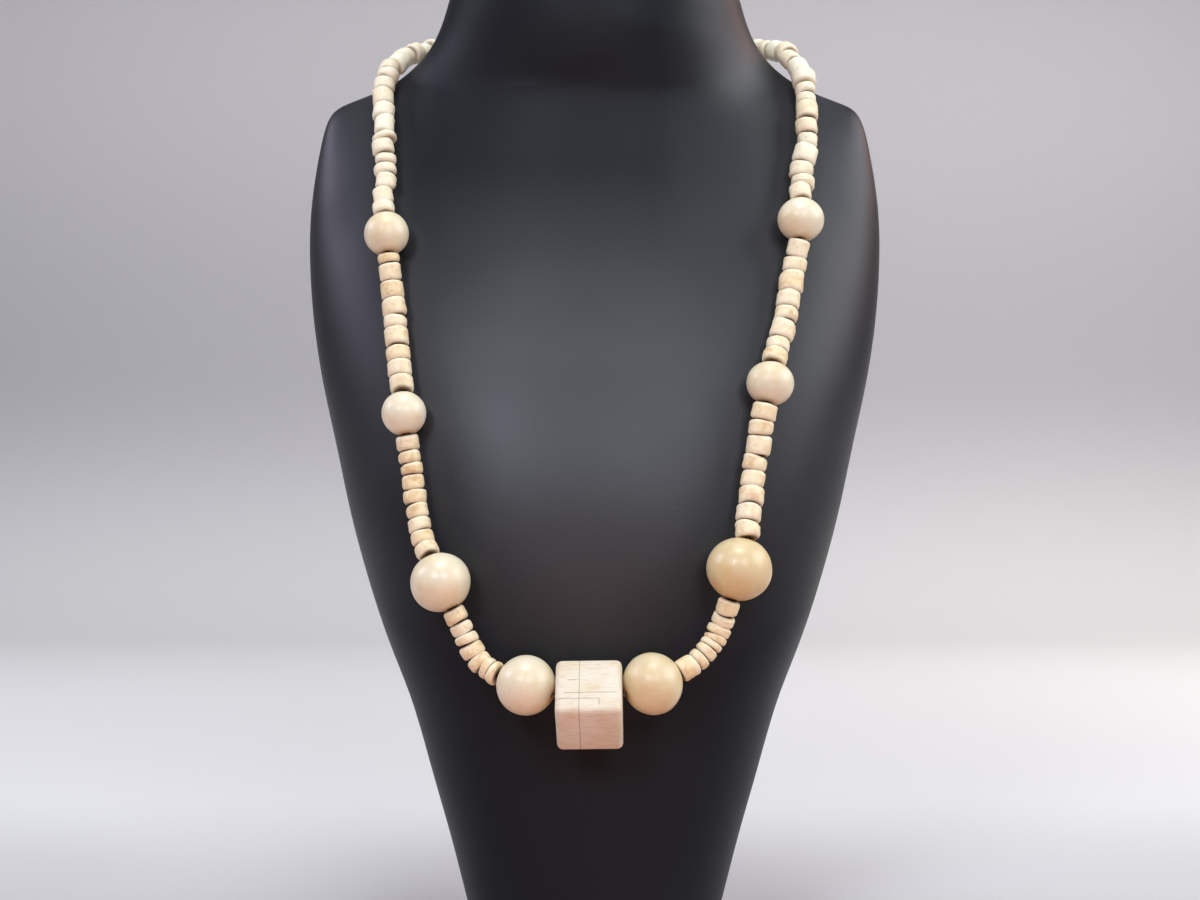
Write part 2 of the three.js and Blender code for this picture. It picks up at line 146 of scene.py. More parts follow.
def mergedCopy(node):
    # the CAD mesh comes as loose triangles, so a copy of it is welded for work
    obj = copied(bpy.data.objects[node], Matrix.Identity(4))
    obj.data.materials.clear()
    startEdit(obj)
    bpy.ops.mesh.select_all(action="SELECT")
    bpy.ops.mesh.remove_doubles(threshold=0.01 * mm)
    bpy.ops.mesh.customdata_custom_splitnormals_clear()
    endEdit()
    return obj


def finishPiece(piece, material, nodes):
    piece.data.materials.clear()
    piece.data.materials.append(material)
    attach(piece, "root")
    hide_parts(*nodes)


# Materials. Hex colours are sRGB, and are turned to linear here.
def linear(hexCode):
    channels = []
    for start in (1, 3, 5):
        value = int(hexCode[start:start + 2], 16) / 255
        channels.append(value / 12.92 if value <= 0.04045 else ((value + 0.055) / 1.055) ** 2.4)
    return (*channels, 1)


def feed(node, inputs):
    # each input gets its plain value, or a link from the socket that is given
    for name, value in inputs.items():
        if isinstance(value, bpy.types.NodeSocket):
            node.id_data.links.new(value, node.inputs[name])
        else:
            node.inputs[name].default_value = value


def addNode(material, kind, settings=None, inputs=None, stops=()):
    # a node with its settings, inputs and links; stops are a ramp's positions and hex colours
    node = material.node_tree.nodes.new(kind)
    for name, value in (settings or {}).items():
        setattr(node, name, value)
    feed(node, inputs or {})
    if stops:
        node.color_ramp.interpolation = "EASE"
        elements = node.color_ramp.elements
        while len(elements) < len(stops):
            elements.new(0.5)
        for element, (position, hexCode) in zip(elements, stops):
            element.position = position
            element.color = linear(hexCode)
    return node


def newMaterial(name):
    material = bpy.data.materials.new(name)
    material.use_nodes = True
    shader = material.node_tree.nodes["Principled BSDF"]
    place = addNode(material, "ShaderNodeTexCoord").outputs["Object"]
    return material, shader, place


# A colour Mix node has several sockets of one name, so its own go by number.
mixAmount, mixFirst, mixSecond, mixResult = 0, 6, 7, 2
plainMix = {"data_type": "RGBA", "blend_type": "MIX"}
multiplyMix = {"data_type": "RGBA", "blend_type": "MULTIPLY"}
noiseLow, noiseHigh = 0.3, 0.7  # nearly all of a noise lies between these

# Leatherette: PVC skin pressed over a moulded form. It gives a soft wide gleam, a very fine even
# grain and slightly uneven gloss where the skin was stretched. Its gleam is cut on the neck and low
# down, as painted shade.
leatherette = {
    "colour": "#1A1D21",
    "stretchedColour": "#1E2024",
    "stretchStops": (0.35, 0.7),
    "stretchSize": 60 * mm,
    "roughness": (0.43, 0.5),
    "ior": 1.5,
    "shine": 0.64,
    "shadedShine": 0.14,  # painted shade: the gleam where the shadeDulling attribute is 1
    "grainSize": 1.1 * mm,  # pressed grain is about 0.4 mm; drawn coarser so that it shows
    "grainHeight": 0.05 * mm,
    "grainStrength": 0.35,
}


def makeLeatherette():
    material, shader, place = newMaterial("black_pressed_leatherette")
    stretch = addNode(material, "ShaderNodeTexNoise", inputs={
        "Vector": place, "Scale": 1 / leatherette["stretchSize"], "Detail": 2, "Roughness": 0.5})
    grain = addNode(material, "ShaderNodeTexVoronoi", {"feature": "SMOOTH_F1"}, {
        "Vector": place, "Scale": 1 / leatherette["grainSize"], "Smoothness": 0.6})
    plain, stretched = leatherette["stretchStops"]
    colour = addNode(material, "ShaderNodeValToRGB", inputs={"Fac": stretch.outputs["Fac"]}, stops=[
        (plain, leatherette["colour"]), (stretched, leatherette["stretchedColour"])])
    gloss = addNode(material, "ShaderNodeMapRange", inputs={
        "Value": stretch.outputs["Fac"], "From Min": noiseLow, "From Max": noiseHigh,
        "To Min": leatherette["roughness"][0], "To Max": leatherette["roughness"][1]})
    bump = addNode(material, "ShaderNodeBump", inputs={
        "Height": grain.outputs["Distance"], "Strength": leatherette["grainStrength"],
        "Distance": leatherette["grainHeight"]})
    # painted shade: the gleam drops where the shadeDulling attribute is high
    shadeDulling = addNode(material, "ShaderNodeAttribute", {"attribute_name": "shadeDulling"})
    shine = addNode(material, "ShaderNodeMapRange", inputs={
        "Value": shadeDulling.outputs["Fac"], "To Min": leatherette["shine"],
        "To Max": leatherette["shadedShine"]})
    feed(shader, {
        "Base Color": colour.outputs["Color"],
        "Roughness": gloss.outputs["Result"],
        "Normal": bump.outputs["Normal"],
        "Specular IOR Level": shine.outputs["Result"],
        "IOR": leatherette["ior"],
    })
    return material


# Turned and polished bone: cut on a lathe and buffed with wax. It gives a satin ivory with faint
# yellow clouding, a tan tint round the drilled holes and a soft glow under the surface.
polishedBone = {
    "colour": "#F1EBD2",
    "cloudColour": "#EADCB6",
    "cloudStops": (0.42, 0.72),
    "cloudSize": 9 * mm,
    "poreColour": "#D4BA90",
    "poreSize": 1.2 * mm,
    "poreLength": 4,  # pores run along the bone, this many times as long as they are wide
    "poreRange": (0.66, 0.8),
    "poreAmount": 0.35,
    "poreHeight": 0.04 * mm,
    "poreStrength": 0.2,
    "holeColour": "#C6A378",
    "agedColour": "#EDDDBE",  # multiplies the colour of a bead by its tone
    "roughness": (0.27, 0.4),
    "ior": 1.54,
    "glow": 0.25,
    "glowRadius": (2.2, 1.1, 0.6),
    "glowScale": 1.2 * mm,
}


def makePolishedBone():
    material, shader, place = newMaterial("turned_polished_bone")
    clouds = addNode(material, "ShaderNodeTexNoise", inputs={
        "Vector": place, "Scale": 1 / polishedBone["cloudSize"], "Detail": 3, "Roughness": 0.55,
        "Distortion": 0.4})
    lengthened = addNode(material, "ShaderNodeMapping", inputs={
        "Vector": place, "Scale": (1, 1, 1 / polishedBone["poreLength"])})
    pores = addNode(material, "ShaderNodeTexNoise", inputs={
        "Vector": lengthened.outputs["Vector"], "Scale": 1 / polishedBone["poreSize"],
        "Detail": 2, "Roughness": 0.6})
    clear, cloudy = polishedBone["cloudStops"]
    ivory = addNode(material, "ShaderNodeValToRGB", inputs={"Fac": clouds.outputs["Fac"]}, stops=[
        (clear, polishedBone["colour"]), (cloudy, polishedBone["cloudColour"])])
    poreMask = addNode(material, "ShaderNodeMapRange", inputs={
        "Value": pores.outputs["Fac"], "From Min": polishedBone["poreRange"][0],
        "From Max": polishedBone["poreRange"][1], "To Min": 0, "To Max": polishedBone["poreAmount"]})
    pored = addNode(material, "ShaderNodeMix", plainMix, {
        mixAmount: poreMask.outputs["Result"], mixFirst: ivory.outputs["Color"],
        mixSecond: linear(polishedBone["poreColour"])})
    hole = addNode(material, "ShaderNodeAttribute", {"attribute_name": "holeEdge"})
    drilled = addNode(material, "ShaderNodeMix", plainMix, {
        mixAmount: hole.outputs["Fac"], mixFirst: pored.outputs[mixResult],
        mixSecond: linear(polishedBone["holeColour"])})
    tone = addNode(material, "ShaderNodeAttribute", {"attribute_name": "beadTone"})
    aged = addNode(material, "ShaderNodeMix", multiplyMix, {
        mixAmount: tone.outputs["Fac"], mixFirst: drilled.outputs[mixResult],
        mixSecond: linear(polishedBone["agedColour"])})
    gloss = addNode(material, "ShaderNodeMapRange", inputs={
        "Value": clouds.outputs["Fac"], "From Min": noiseLow, "From Max": noiseHigh,
        "To Min": polishedBone["roughness"][0], "To Max": polishedBone["roughness"][1]})
    bump = addNode(material, "ShaderNodeBump", inputs={
        "Height": pores.outputs["Fac"], "Strength": polishedBone["poreStrength"],
        "Distance": polishedBone["poreHeight"]})
    feed(shader, {
        "Base Color": aged.outputs[mixResult],
        "Roughness": gloss.outputs["Result"],
        "Normal": bump.outputs["Normal"],
        "IOR": polishedBone["ior"],
        "Subsurface Weight": polishedBone["glow"],
        "Subsurface Radius": polishedBone["glowRadius"],
        "Subsurface Scale": polishedBone["glowScale"],
    })
    return material


# Tumbled bone tube: sawn into short lengths and tumbled. It gives a matt cream with tan patches and
# open pores and worn pale rims, with painted shade darkening the joints between beads. Bleached beads
# are paler, with no patches and less painted joint shade.
tumbledBone = {
    "colour": "#F2DBA8",
    "paleColour": "#F9F3D8",
    "patchColour": "#D8B279",
    "patchSize": 3.4 * mm,
    "patchRange": (0.47, 0.66),
    "poreColour": "#9C6F42",
    "poreSize": 0.9 * mm,
    "poreRange": (0.62, 0.74),
    "poreAmount": 0.55,
    "poreHeight": 0.12 * mm,
    "poreStrength": 0.5,
    "jointShadeColour": "#5C4026",
    "paleJointShade": 0.2,  # how much painted joint shade a bleached bead gets
    "fullJointShadeTone": 0.5,  # the tone from which a bead gets all of the painted joint shade
    "rimColour": "#FDF5E2",
    "rimAmount": 0.75,
    "roughness": (0.42, 0.62),
    "ior": 1.54,
    "glow": 0.1,
    "glowRadius": (1.4, 0.9, 0.5),
    "glowScale": 1.0 * mm,
}


def makeTumbledBone():
    material, shader, place = newMaterial("tumbled_bone_tube")
    patches = addNode(material, "ShaderNodeTexNoise", inputs={
        "Vector": place, "Scale": 1 / tumbledBone["patchSize"], "Detail": 4, "Roughness": 0.6,
        "Distortion": 0.6})
    pores = addNode(material, "ShaderNodeTexNoise", inputs={
        "Vector": place, "Scale": 1 / tumbledBone["poreSize"], "Detail": 3, "Roughness": 0.65})
    tone = addNode(material, "ShaderNodeAttribute", {"attribute_name": "beadTone"})
    # painted shade: darkens the end faces where beads meet, standing in for the shade between them
    joint = addNode(material, "ShaderNodeAttribute", {"attribute_name": "jointShade"})
    rim = addNode(material, "ShaderNodeAttribute", {"attribute_name": "rimWear"})
    cream = addNode(material, "ShaderNodeMix", plainMix, {
        mixAmount: tone.outputs["Fac"], mixFirst: linear(tumbledBone["paleColour"]),
        mixSecond: linear(tumbledBone["colour"])})
    patchMask = addNode(material, "ShaderNodeMapRange", inputs={
        "Value": patches.outputs["Fac"], "From Min": tumbledBone["patchRange"][0],
        "From Max": tumbledBone["patchRange"][1], "To Min": 0, "To Max": 1})
    patchAmount = addNode(material, "ShaderNodeMath", {"operation": "MULTIPLY"}, {
        0: patchMask.outputs["Result"], 1: tone.outputs["Fac"]})
    patched = addNode(material, "ShaderNodeMix", plainMix, {
        mixAmount: patchAmount.outputs["Value"], mixFirst: cream.outputs[mixResult],
        mixSecond: linear(tumbledBone["patchColour"])})
    poreMask = addNode(material, "ShaderNodeMapRange", inputs={
        "Value": pores.outputs["Fac"], "From Min": tumbledBone["poreRange"][0],
        "From Max": tumbledBone["poreRange"][1], "To Min": 0, "To Max": tumbledBone["poreAmount"]})
    pored = addNode(material, "ShaderNodeMix", plainMix, {
        mixAmount: poreMask.outputs["Result"], mixFirst: patched.outputs[mixResult],
        mixSecond: linear(tumbledBone["poreColour"])})
    rimMask = addNode(material, "ShaderNodeMath", {"operation": "MULTIPLY"}, {
        0: rim.outputs["Fac"], 1: tumbledBone["rimAmount"]})
    worn = addNode(material, "ShaderNodeMix", plainMix, {
        mixAmount: rimMask.outputs["Value"], mixFirst: pored.outputs[mixResult],
        mixSecond: linear(tumbledBone["rimColour"])})
    # painted shade in the joints, weaker on bleached beads
    shadeShare = addNode(material, "ShaderNodeMapRange", inputs={
        "Value": tone.outputs["Fac"], "From Max": tumbledBone["fullJointShadeTone"],
        "To Min": tumbledBone["paleJointShade"], "To Max": 1})
    jointShadeAmount = addNode(material, "ShaderNodeMath", {"operation": "MULTIPLY"}, {
        0: joint.outputs["Fac"], 1: shadeShare.outputs["Result"]})
    jointShaded = addNode(material, "ShaderNodeMix", plainMix, {
        mixAmount: jointShadeAmount.outputs["Value"], mixFirst: worn.outputs[mixResult],
        mixSecond: linear(tumbledBone["jointShadeColour"])})
    gloss = addNode(material, "ShaderNodeMapRange", inputs={
        "Value": patches.outputs["Fac"], "From Min": noiseLow, "From Max": noiseHigh,
        "To Min": tumbledBone["roughness"][0], "To Max": tumbledBone["roughness"][1]})
    bump = addNode(material, "ShaderNodeBump", inputs={
        "Height": pores.outputs["Fac"], "Strength": tumbledBone["poreStrength"],
        "Distance": tumbledBone["poreHeight"]})
    feed(shader, {
        "Base Color": jointShaded.outputs[mixResult],
        "Roughness": gloss.outputs["Result"],
        "Normal": bump.outputs["Normal"],
        "IOR": tumbledBone["ior"],
        "Subsurface Weight": tumbledBone["glow"],
        "Subsurface Radius": tumbledBone["glowRadius"],
        "Subsurface Scale": tumbledBone["glowScale"],
    })
    return material


# Pieced bone: thin slips of sawn bone glued over a core and sanded flush. It gives straight fine
# saw grain along each slip, faint clouding from slip to slip, and grey-brown glue in the seams.
piecedBone = {
    "colour": "#E6DDC8",
    "grainColour": "#D8C8A8",
    "grainStops": (0.45, 0.75),
    "grainWidth": 0.5 * mm,
    "grainLength": 9,  # times as long as it is wide
    "grainHeight": 0.05 * mm,
    "grainStrength": 0.3,
    "shades": ((0.35, "#FFFFFF"), (0.75, "#F8F1E3")),
    "shadeSize": 7 * mm,
    "seamColour": "#B5A793",
    "roughness": (0.5, 0.62),
    "ior": 1.54,
    "glow": 0.1,
    "glowRadius": (1.4, 0.9, 0.5),
    "glowScale": 1.0 * mm,
}


def makePiecedBone():
    material, shader, place = newMaterial("pieced_sanded_bone")
    lengthened = addNode(material, "ShaderNodeMapping", inputs={
        "Vector": place, "Scale": (1 / piecedBone["grainLength"], 1, 1)})
    grain = addNode(material, "ShaderNodeTexNoise", inputs={
        "Vector": lengthened.outputs["Vector"], "Scale": 1 / piecedBone["grainWidth"],
        "Detail": 3, "Roughness": 0.6})
    clouds = addNode(material, "ShaderNodeTexNoise", inputs={
        "Vector": place, "Scale": 1 / piecedBone["shadeSize"], "Detail": 2})
    plain, grained = piecedBone["grainStops"]
    sawn = addNode(material, "ShaderNodeValToRGB", inputs={"Fac": grain.outputs["Fac"]}, stops=[
        (plain, piecedBone["colour"]), (grained, piecedBone["grainColour"])])
    shade = addNode(material, "ShaderNodeValToRGB", inputs={"Fac": clouds.outputs["Fac"]},
                    stops=piecedBone["shades"])
    shaded = addNode(material, "ShaderNodeMix", multiplyMix, {
        mixAmount: 1, mixFirst: sawn.outputs["Color"], mixSecond: shade.outputs["Color"]})
    seam = addNode(material, "ShaderNodeAttribute", {"attribute_name": "glueSeam"})
    glued = addNode(material, "ShaderNodeMix", plainMix, {
        mixAmount: seam.outputs["Fac"], mixFirst: shaded.outputs[mixResult],
        mixSecond: linear(piecedBone["seamColour"])})
    gloss = addNode(material, "ShaderNodeMapRange", inputs={
        "Value": grain.outputs["Fac"], "From Min": noiseLow, "From Max": noiseHigh,
        "To Min": piecedBone["roughness"][0], "To Max": piecedBone["roughness"][1]})
    bump = addNode(material, "ShaderNodeBump", inputs={
        "Height": grain.outputs["Fac"], "Strength": piecedBone["grainStrength"],
        "Distance": piecedBone["grainHeight"]})
    feed(shader, {
        "Base Color": glued.outputs[mixResult],
        "Roughness": gloss.outputs["Result"],
        "Normal": bump.outputs["Normal"],
        "IOR": piecedBone["ior"],
        "Subsurface Weight": piecedBone["glow"],
        "Subsurface Radius": piecedBone["glowRadius"],
        "Subsurface Scale": piecedBone["glowScale"],
    })
    return material


# Waxed cotton: plied yarn drawn through wax, with a diagonal ply. Its dull dark brown is painted shade,
# so that the thread reads as shadow where it shows between beads.
waxedThreadInShade = {
    "colour": "#75664F",
    "plyColour": "#4E4333",
    "plyStops": (0.2, 0.8),
    "plyPitch": 0.9 * mm,
    "plyTurn": (0.6, 0.5, 0.4),
    "plyHeight": 0.1 * mm,
    "plyStrength": 0.6,
    "roughness": 0.6,
}


def makeWaxedThreadInShade():
    material, shader, place = newMaterial("waxed_thread_painted_shade")
    turned = addNode(material, "ShaderNodeMapping", inputs={
        "Vector": place, "Rotation": waxedThreadInShade["plyTurn"]})
    bands = {"wave_type": "BANDS", "bands_direction": "DIAGONAL"}
    ply = addNode(material, "ShaderNodeTexWave", bands, {
        "Vector": turned.outputs["Vector"], "Scale": 0.3 / waxedThreadInShade["plyPitch"],
        "Distortion": 1.2, "Detail": 2})
    valley, crest = waxedThreadInShade["plyStops"]
    colour = addNode(material, "ShaderNodeValToRGB", inputs={"Fac": ply.outputs["Fac"]}, stops=[
        (valley, waxedThreadInShade["plyColour"]), (crest, waxedThreadInShade["colour"])])
    bump = addNode(material, "ShaderNodeBump", inputs={
        "Height": ply.outputs["Fac"], "Strength": waxedThreadInShade["plyStrength"],
        "Distance": waxedThreadInShade["plyHeight"]})
    feed(shader, {
        "Base Color": colour.outputs["Color"],
        "Roughness": waxedThreadInShade["roughness"],
        "Normal": bump.outputs["Normal"],
    })
    return material


boneTube = makeTumbledBone()
boneBall = makePolishedBone()
boneCube = makePiecedBone()
shadedThread = makeWaxedThreadInShade()
bustSkin = makeLeatherette()
print("materials made")


# The CAD thread is straight between stations, and has one ring of six points at each.
longestRingEdge = 0.8 * mm


def boxMiddle(node):
    low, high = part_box(node)
    return (Vector(low) + Vector(high)) / 2


def readStations():
    thread = mergedCopy("thread")
    mesh = bmesh.new()
    mesh.from_mesh(thread.data)
    mesh.verts.ensure_lookup_table()
    ringOf = {}
    rings = []
    for vertex in mesh.verts:
        if vertex.index in ringOf:
            continue
        ring = [vertex]
        ringOf[vertex.index] = len(rings)
        for member in ring:
            for edge in member.link_edges:
                other = edge.other_vert(member)
                if edge.calc_length() < longestRingEdge and other.index not in ringOf:
                    ringOf[other.index] = len(rings)
                    ring.append(other)
        rings.append(ring)
    centres = [sum((vertex.co for vertex in ring), Vector()) / len(ring) for ring in rings]
    neighbours = {index: set() for index in range(len(rings))}
    for edge in mesh.edges:
        a, b = (ringOf[vertex.index] for vertex in edge.verts)
        if a != b:
            neighbours[a].add(b)
            neighbours[b].add(a)
    mesh.free()
    bpy.data.meshes.remove(thread.data)
    middle = boxMiddle("cube")
    # the two stations nearest the cube; the walk starts at the left one, away from the cube
    near = sorted(range(len(centres)), key=lambda index: (centres[index] - middle).length)[:2]
    left, right = sorted(near, key=lambda index: centres[index].x)
    order = [left]
    before = right
    while len(order) < len(centres):
        following = [index for index in neighbours[order[-1]] if index != before]
        before = order[-1]
        order.append(following[0])
    return [centres[index] for index in order]


stations = readStations()
print("stations read:", len(stations))


def inBox(point, node, slack=0.4 * mm):
    low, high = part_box(node)
    return all(low[i] - slack <= point[i] <= high[i] + slack for i in range(3))


endSlack = 0.1 * mm


def widthAbout(node, start, end):
    # the width of a CAD bead, square to the thread, between two stations
    axis = (end - start).normalized()
    length = (end - start).length
    widest = 0
    for vertex in bpy.data.objects[node].data.vertices:
        along = (vertex.co - start).dot(axis)
        if -endSlack < along < length + endSlack:
            widest = max(widest, (vertex.co - start - axis * along).length)
    return 2 * widest


shortestBead = 1.6 * mm
beadNodes = [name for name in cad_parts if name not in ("bust", "thread")]


def sortBeads():
    # which CAD node each stretch of thread runs through
    found = []
    for index, start in enumerate(stations):
        end = stations[(index + 1) % len(stations)]
        if (end - start).length < shortestBead:
            continue
        middle = (start + end) / 2
        holding = [name for name in beadNodes if inBox(middle, name)]
        if not holding:
            continue
        node = min(holding, key=lambda name: (boxMiddle(name) - middle).length)
        found.append({"node": node, "start": start, "end": end, "width": widthAbout(node, start, end)})
    return found


beads = sortBeads()
coreMiddle = Vector((0, 17 * mm, 0))  # the bust's upright middle line


def beadFrame(start, end):
    # turns +Z along the thread and +Y towards the bust, and moves to the bead's middle
    axis = (end - start).normalized()
    middle = (start + end) / 2
    inward = coreMiddle - Vector((middle.x, middle.y, 0))
    inward = (inward - axis * inward.dot(axis)).normalized()
    side = inward.cross(axis)
    turn = Matrix((side, inward, axis)).transposed().to_4x4()
    return Matrix.Translation(middle) @ turn


# Small bone tube beads.
tubeBead = {
    "sides": 20,
    "lengths": (2.4 * mm, 3.6 * mm, 4.8 * mm, 6 * mm),
    "width": 7.3 * mm,
    "bore": 1.9 * mm,
    "rim": 1.15 * mm,
    "boreRim": 0.2 * mm,
    "wedge": (0, 5, -6, 9),  # degrees between the two sawn ends
    "lumpSize": 3.0 * mm,
    "lumpHeight": 0.55 * mm,
    "gap": 0.22 * mm,
    "jointShadeStart": 0.9,  # painted joint shade and wear are placed in parts of the bead's radius and half length
    "jointShadeFade": 0.3,
    "wearAt": 0.86,
    "wearFade": 0.2,
    "wearOutside": 0.8,
    "widthSpread": 0.05,
    "tilt": 4,
    "shift": 0.26 * mm,
    "seed": 7,
}


def modelTube(length, wedge, number):
    # a sawn length of bone: drilled, its rims rounded, one end out of square, its skin uneven
    radius = tubeBead["width"] / 2
    bore = tubeBead["bore"] / 2
    deselectAll()
    bpy.ops.mesh.primitive_cylinder_add(vertices=tubeBead["sides"], radius=radius, depth=length)
    obj = bpy.context.object
    startEdit(obj)
    choose(obj, "EDGE", lambda edge: abs(edge.verts[0].co.z - edge.verts[1].co.z) > 0.5 * length)
    bpy.ops.mesh.subdivide(number_cuts=2)
    choose(obj, "FACE", lambda face: abs(face.normal.z) > 0.9)
    bpy.ops.mesh.inset(thickness=radius - bore)
    bpy.ops.mesh.bridge_edge_loops()
    nearEnd = 0.49 * length
    choose(obj, "EDGE", lambda edge: all(
        abs(vertex.co.z) > nearEnd and fromAxis(vertex.co) > 0.9 * radius for vertex in edge.verts))
    bpy.ops.mesh.bevel(offset=min(tubeBead["rim"], 0.32 * length), segments=3, profile=0.5)
    choose(obj, "EDGE", lambda edge: all(
        abs(vertex.co.z) > nearEnd and fromAxis(vertex.co) < 1.2 * bore for vertex in edge.verts))
    bpy.ops.mesh.bevel(offset=tubeBead["boreRim"], segments=1)
    choose(obj, "VERT", lambda vertex: vertex.co.z > 0.2 * length)
    bpy.ops.transform.rotate(value=math.radians(wedge), orient_axis="X",
                             center_override=(0, 0, 0.5 * length))
    bpy.ops.mesh.select_all(action="SELECT")
    bpy.ops.mesh.normals_make_consistent(inside=False)
    endEdit()
    # each bead cuts another part of the same noise
    shiftAway = Matrix.Translation((11 * mm * number, 7 * mm * number, 0))
    obj.data.transform(shiftAway)
    addModifier(obj, "DISPLACE", texture=boneLumps, strength=tubeBead["lumpHeight"], mid_level=0.5,
                texture_coords="LOCAL")
    obj.data.transform(shiftAway.inverted())
    half = length / 2

    # painted shade: 1 towards the axis, on the end faces and in the bore, where neighbouring beads shade
    # each other
    def jointShadeAt(co):
        return clamped((tubeBead["jointShadeStart"] * radius - fromAxis(co)) / (tubeBead["jointShadeFade"] * radius))

    def wearAt(co):
        away = abs(abs(co.z) - tubeBead["wearAt"] * half)
        outside = fromAxis(co) > tubeBead["wearOutside"] * radius
        return max(0, 1 - away / (tubeBead["wearFade"] * half)) if outside else 0

    setAttribute(obj, "jointShade", jointShadeAt)
    setAttribute(obj, "rimWear", wearAt)
    smoothed(obj, 50)
    return obj


boneLumps = lumps("bone_lumps", tubeBead["lumpSize"])
tubeMasters = {}
for length in tubeBead["lengths"]:
    tubeMasters[length] = [
        modelTube(length, wedge, len(tubeMasters) * len(tubeBead["wedge"]) + index)
        for index, wedge in enumerate(tubeBead["wedge"])
    ]
print("tube beads modelled:", len(tubeMasters) * len(tubeBead["wedge"]))

# How each run differs: tone is from 0, bleached, to 1, tan; uneven is how far its beads stray.
runStyles = {
    "left_low": {"tone": (0.45, 0.9), "uneven": 1.0},
    "left_middle": {"tone": (0.45, 0.9), "uneven": 0.8},
    "left_upper": {"tone": (0.45, 0.9), "uneven": 0.8},
    "left_top": {"tone": (0.05, 0.4), "uneven": 2.3},
    "nape": {"tone": (0, 0.5), "uneven": 1.3},
    "right_top": {"tone": (0.05, 0.45), "uneven": 2.2},
    "right_upper": {"tone": (0.4, 0.9), "uneven": 1.1},
    "right_middle": {"tone": (0.4, 0.85), "uneven": 0.8},
    "right_low": {"tone": (0.45, 0.9), "uneven": 1.1},
}


def placeTube(bead, style, chance):
    length = (bead["end"] - bead["start"]).length
    nearest = min(tubeMasters, key=lambda size: abs(size - length))
    master = chance.choice(tubeMasters[nearest])
    uneven = style["uneven"]
    tilt = math.radians(tubeBead["tilt"]) * uneven
    width = bead["width"] * (1 + tubeBead["widthSpread"] * uneven * chance.uniform(-1, 1))
    shift = tubeBead["shift"] * uneven
    flip = Matrix.Rotation(math.pi * chance.randrange(2), 4, "X")
    spin = Matrix.Rotation(chance.uniform(0, 2 * math.pi), 4, "Z")
    lean = Matrix.Rotation(chance.uniform(-tilt, tilt), 4, "X")
    lean = lean @ Matrix.Rotation(chance.uniform(-tilt, tilt), 4, "Y")
    stray = Matrix.Translation((chance.uniform(-shift, shift), chance.uniform(-shift, shift), 0))
    wider = width / tubeBead["width"]
    size = Matrix.Diagonal((wider, wider, (length - tubeBead["gap"]) / nearest, 1))
    obj = copied(master, beadFrame(bead["start"], bead["end"]) @ stray @ lean @ spin @ flip @ size)
    tone = chance.uniform(*style["tone"])
    setAttribute(obj, "beadTone", lambda co: tone)
    return obj


def nodesOf(run):
    return [name for name in beadNodes if name.startswith(("bead_" + run, "string_" + run))]


for order, (run, style) in enumerate(runStyles.items()):
    chance = random.Random(tubeBead["seed"] + order)
    nodes = nodesOf(run)
    row = [placeTube(bead, style, chance) for bead in beads if bead["node"] in nodes]
    piece = joined(row, "tube_beads_" + run)
    finishPiece(piece, boneTube, nodes)
    print("run", run, "of", len(row), "beads")

for masters in tubeMasters.values():
    for master in masters:
        bpy.data.meshes.remove(master.data)


# Turned balls.
ball = {
    "sides": 48,
    "rings": 32,
    "holeRim": 1.5 * mm,
    "holeRound": 0.25 * mm,
    "bore": 1.9 * mm,
    "countersink": 0.35 * mm,
    "lumpSize": 9 * mm,
    "lumpHeight": 0.3 * mm,
    "blush": 0.8,  # the tan tint at the hole, and how far it reaches
    "blushReach": 2.6 * mm,
}


def modelBall(length, width, number):
    # turned between two drilled holes with softened rims, then buffed a little out of round
    radius = width / 2
    deselectAll()
    bpy.ops.mesh.primitive_uv_sphere_add(segments=ball["sides"], ring_count=ball["rings"], radius=radius)
    obj = bpy.context.object
    startEdit(obj)
    rim = ball["holeRim"]
    choose(obj, "FACE", lambda face: fromAxis(face.calc_center_median()) < rim)
    bpy.ops.mesh.delete(type="FACE")
    choose(obj, "EDGE", lambda edge: edge.is_boundary)
    mesh = bmesh.from_edit_mesh(obj.data)
    rimEdges = [edge for edge in mesh.edges if edge.is_boundary]
    edgeRadius = max(fromAxis(vertex.co) for edge in rimEdges for vertex in edge.verts)
    bpy.ops.mesh.extrude_region_move()
    shrink = (ball["bore"] / 2) / edgeRadius
    bpy.ops.transform.resize(value=(shrink, shrink, 1 - ball["countersink"] / radius))
    bpy.ops.mesh.bridge_edge_loops()
    choose(obj, "EDGE", lambda edge: all(
        abs(fromAxis(vertex.co) - edgeRadius) < 0.02 * mm and abs(vertex.co.z) > 0.8 * radius
        for vertex in edge.verts))
    bpy.ops.mesh.bevel(offset=ball["holeRound"], segments=2)
    bpy.ops.mesh.select_all(action="SELECT")
    bpy.ops.mesh.normals_make_consistent(inside=False)
    endEdit()
    obj.data.transform(Matrix.Diagonal((1, 1, length / width, 1)))
    away = Matrix.Translation((23 * mm * number, 0, 0))
    obj.data.transform(away)
    addModifier(obj, "DISPLACE", texture=ballLumps, strength=ball["lumpHeight"], mid_level=0.5,
                texture_coords="LOCAL")
    obj.data.transform(away.inverted())
    setAttribute(obj, "holeEdge", lambda co: ball["blush"] * clamped(
        1 - (fromAxis(co) - edgeRadius) / ball["blushReach"]))
    smoothed(obj, 50)
    return obj


ballLumps = lumps("ball_lumps", ball["lumpSize"], 1)
